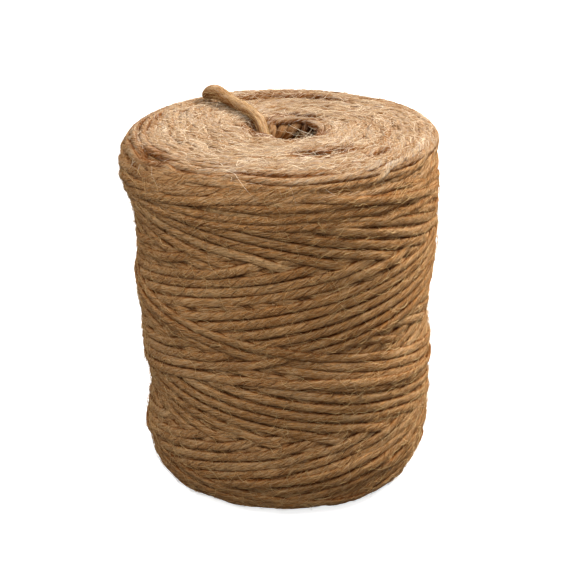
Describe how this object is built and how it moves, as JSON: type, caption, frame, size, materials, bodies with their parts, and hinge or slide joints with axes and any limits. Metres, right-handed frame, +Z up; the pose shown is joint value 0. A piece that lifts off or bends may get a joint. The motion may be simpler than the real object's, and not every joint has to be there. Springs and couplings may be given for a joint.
{
  "type": "ball of twine",
  "caption": "Cross-wound ball of natural jute twine standing on its flat end, with a centre hole and the inner end pulled out over the top.",
  "frame": {"origin": "middle of the flat base that the ball stands on", "axes": "+Z up along the winding axis and the centre hole; the front, seen in the picture, faces -Y; +X is to the right of that view"},
  "size_m": [0.1023, 0.1016, 0.1225],
  "materials": {
    "wound_twine": "dry matt plied jute, tan with darker gaps between the turns and pale stray fibres",
    "loose_twine": "dry matt plied jute, slightly opened and hairy at its cut tip"
  },
  "bodies": {
    "root": {"wound_ball": "wound_twine", "loose_end": "loose_twine"}
  },
  "joints": []
}
